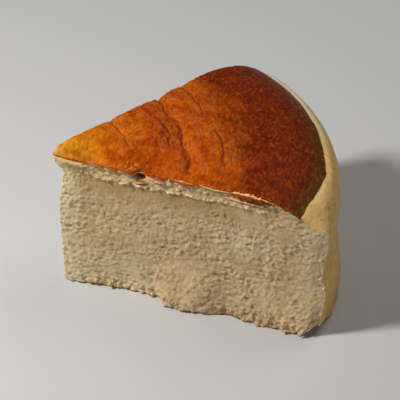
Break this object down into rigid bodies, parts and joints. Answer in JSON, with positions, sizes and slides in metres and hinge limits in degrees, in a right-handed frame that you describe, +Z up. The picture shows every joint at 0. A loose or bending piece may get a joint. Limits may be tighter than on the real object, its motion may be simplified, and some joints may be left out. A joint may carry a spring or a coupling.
{
  "type": "cheesecake slice",
  "caption": "Wedge-shaped slice of soft baked cheesecake with a puffed, wrinkled brown top, pale rim and open crumb on its cut sides.",
  "frame": {"origin": "bottom centre of the slice's box, on the surface it stands on", "axes": "+X from the tip towards the rim along the front cut, +Y away from the front cut, +Z up"},
  "size_m": [0.0766, 0.0678, 0.0454],
  "materials": {
    "crumb": "matt, soft open crumb",
    "browned_skin": "satin, skin browned in the oven"
  },
  "bodies": {
    "root": {"cheesecake_slice": "crumb"}
  },
  "joints": []
}
